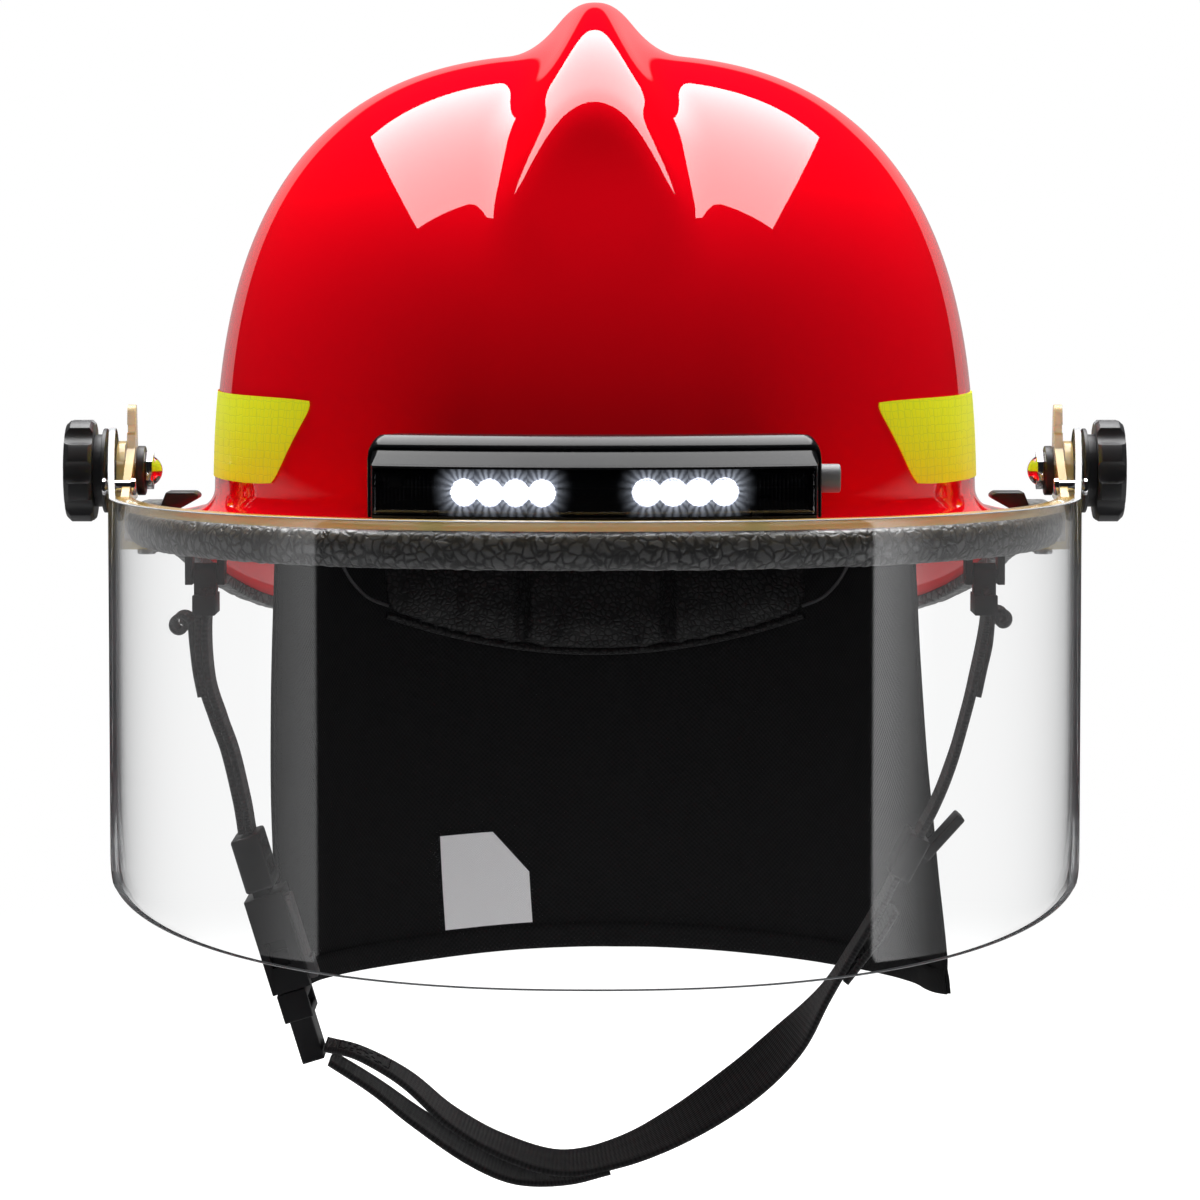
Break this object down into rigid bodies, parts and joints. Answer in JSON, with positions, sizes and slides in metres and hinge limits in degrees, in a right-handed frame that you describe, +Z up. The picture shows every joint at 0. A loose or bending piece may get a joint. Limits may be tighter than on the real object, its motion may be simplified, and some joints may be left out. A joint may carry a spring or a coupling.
{
  "type": "fire helmet",
  "caption": "Structural fire helmet with crested composite shell, swinging face shield on a hoop, front lamp, chin strap, neck curtain and ratchet suspension.",
  "frame": {"origin": "centre of the head opening at the level of the brim", "axes": "front of the helmet faces -Y, +Z up, +X to the left hand of the wearer"},
  "size_m": [0.3204, 0.3636, 0.3612],
  "materials": {
    "shell_red": "glossy composite paint",
    "trim_rubber": "grained rubber",
    "reflective": "retroreflective sheet",
    "foam": "rigid foam",
    "webbing": "ribbed woven webbing",
    "black_plastic": "moulded, fine texture",
    "leather": "padded leather",
    "pad_cloth": "padded cloth",
    "grey_plastic": "moulded",
    "clear_lens": "clear polycarbonate",
    "amber": "translucent amber moulding",
    "chrome": "polished",
    "steel": "plated steel",
    "gloss_black": "glossy black",
    "smoked_lens": "smoked polycarbonate",
    "board": "circuit board",
    "led": "lit diode",
    "cell": "sleeved battery",
    "lever_grey": "moulded grey",
    "curtain_cloth": "black flame resistant weave",
    "label": "plain white woven label, bare",
    "hook_tape": "hook and loop tape"
  },
  "bodies": {
    "helmet": {"shell": "shell_red", "edge_trim": "trim_rubber", "reflective_patches": "reflective", "impact_liner": "foam", "crown_strap_cross": "webbing", "crown_strap_long": "webbing", "suspension_clips": "black_plastic", "headband": "black_plastic", "brow_pad": "leather", "nape_pad": "pad_cloth", "ratchet_housing": "black_plastic", "visor_bracket_left": "amber", "visor_bracket_right": "amber", "bracket_screws": "steel", "pivot_bolt_left": "steel", "pivot_bolt_right": "steel", "dome_nut_left": "chrome", "dome_nut_right": "chrome", "pivot_washer_left": "black_plastic", "pivot_washer_right": "black_plastic", "light_housing": "gloss_black", "light_lens": "smoked_lens", "led_board": "board", "light_leds": "led", "light_batteries": "cell", "light_screws": "steel", "brim_clip_left": "black_plastic", "brim_clip_right": "black_plastic", "strap_hanger_left": "black_plastic", "strap_hanger_right": "black_plastic", "neck_curtain": "curtain_cloth", "curtain_label": "label", "curtain_hook_strip": "hook_tape", "hang_bracket": "steel"},
    "visor": {"visor_lens": "clear_lens", "visor_hoop": "amber", "hoop_rivets": "chrome"},
    "left_knob": {"knob_left": "black_plastic", "knob_hub_left": "black_plastic"},
    "right_knob": {"knob_right": "black_plastic", "knob_hub_right": "black_plastic"},
    "lamp_button": {"light_button": "grey_plastic"},
    "ratchet": {"ratchet_knob": "black_plastic", "ratchet_pinion": "grey_plastic"},
    "upper_rack": {"rack_left": "grey_plastic"},
    "lower_rack": {"rack_right": "grey_plastic"},
    "chin_left": {"strap_left": "webbing", "buckle_ladder": "black_plastic", "buckle_socket": "black_plastic"},
    "release_lever": {"buckle_lever": "lever_grey"},
    "chin_right": {"buckle_tongue": "black_plastic", "chin_web": "webbing", "web_return": "webbing"},
    "slider": {"strap_adjuster": "black_plastic"},
    "rear_ring": {"hang_ring": "chrome"}
  },
  "joints": [
    {"name": "visor_hinge", "type": "hinge", "parent": "helmet", "child": "visor", "pos_m": [0, -0.015, 0.019], "axis": [-1, 0, 0], "range_deg": [0, 95]},
    {"name": "left_knob_turn", "type": "hinge", "parent": "helmet", "child": "left_knob", "pos_m": [-0.152, -0.015, 0.019], "axis": [-1, 0, 0], "range_deg": [0, 180]},
    {"name": "right_knob_turn", "type": "hinge", "parent": "helmet", "child": "right_knob", "pos_m": [0.152, -0.015, 0.019], "axis": [1, 0, 0], "range_deg": [0, 180]},
    {"name": "lamp_button_push", "type": "slide", "parent": "helmet", "child": "lamp_button", "axis": [-1, 0, 0], "range_m": [0, 0.0015], "stiffness_N_per_m": 400},
    {"name": "ratchet_turn", "type": "hinge", "parent": "helmet", "child": "ratchet", "pos_m": [0, 0.109, -0.024], "axis": [0, 1, 0], "range_deg": [0, 180]},
    {"name": "upper_rack_slide", "type": "slide", "parent": "helmet", "child": "upper_rack", "axis": [1, 0, 0], "range_m": [0, 0.0158]},
    {"name": "lower_rack_slide", "type": "slide", "parent": "helmet", "child": "lower_rack", "axis": [-1, 0, 0], "range_m": [0, 0.0158]},
    {"name": "chin_right_swing", "type": "hinge", "parent": "helmet", "child": "chin_right", "pos_m": [0.119, -0.008, -0.013], "axis": [-1, 0, 0], "range_deg": [-6, 40]},
    {"name": "chin_left_swing", "type": "hinge", "parent": "helmet", "child": "chin_left", "pos_m": [-0.119, -0.008, -0.013], "axis": [-1, 0, 0], "range_deg": [-6, 40]},
    {"name": "buckle_lever_press", "type": "hinge", "parent": "chin_left", "child": "release_lever", "pos_m": [-0.09382, -0.008, -0.11342], "axis": [0, 1, 0], "range_deg": [0, 2.5], "stiffness_Nm_per_rad": 0.3},
    {"name": "adjuster_slide", "type": "slide", "parent": "chin_right", "child": "slider", "axis": [0.4706, 0, 0.8824], "range_m": [-0.004, 0.005]},
    {"name": "ring_swing", "type": "hinge", "parent": "helmet", "child": "rear_ring", "pos_m": [0, 0.166, -0.0409], "axis": [1, 0, 0], "range_deg": [-25, 75]}
  ],
  "couplings": [
    {"joint": "upper_rack_slide", "follows": "ratchet_turn", "m_per_rad": 0.005},
    {"joint": "lower_rack_slide", "follows": "ratchet_turn", "m_per_rad": 0.005},
    {"joint": "chin_left_swing", "follows": "chin_right_swing", "ratio": 1}
  ]
}
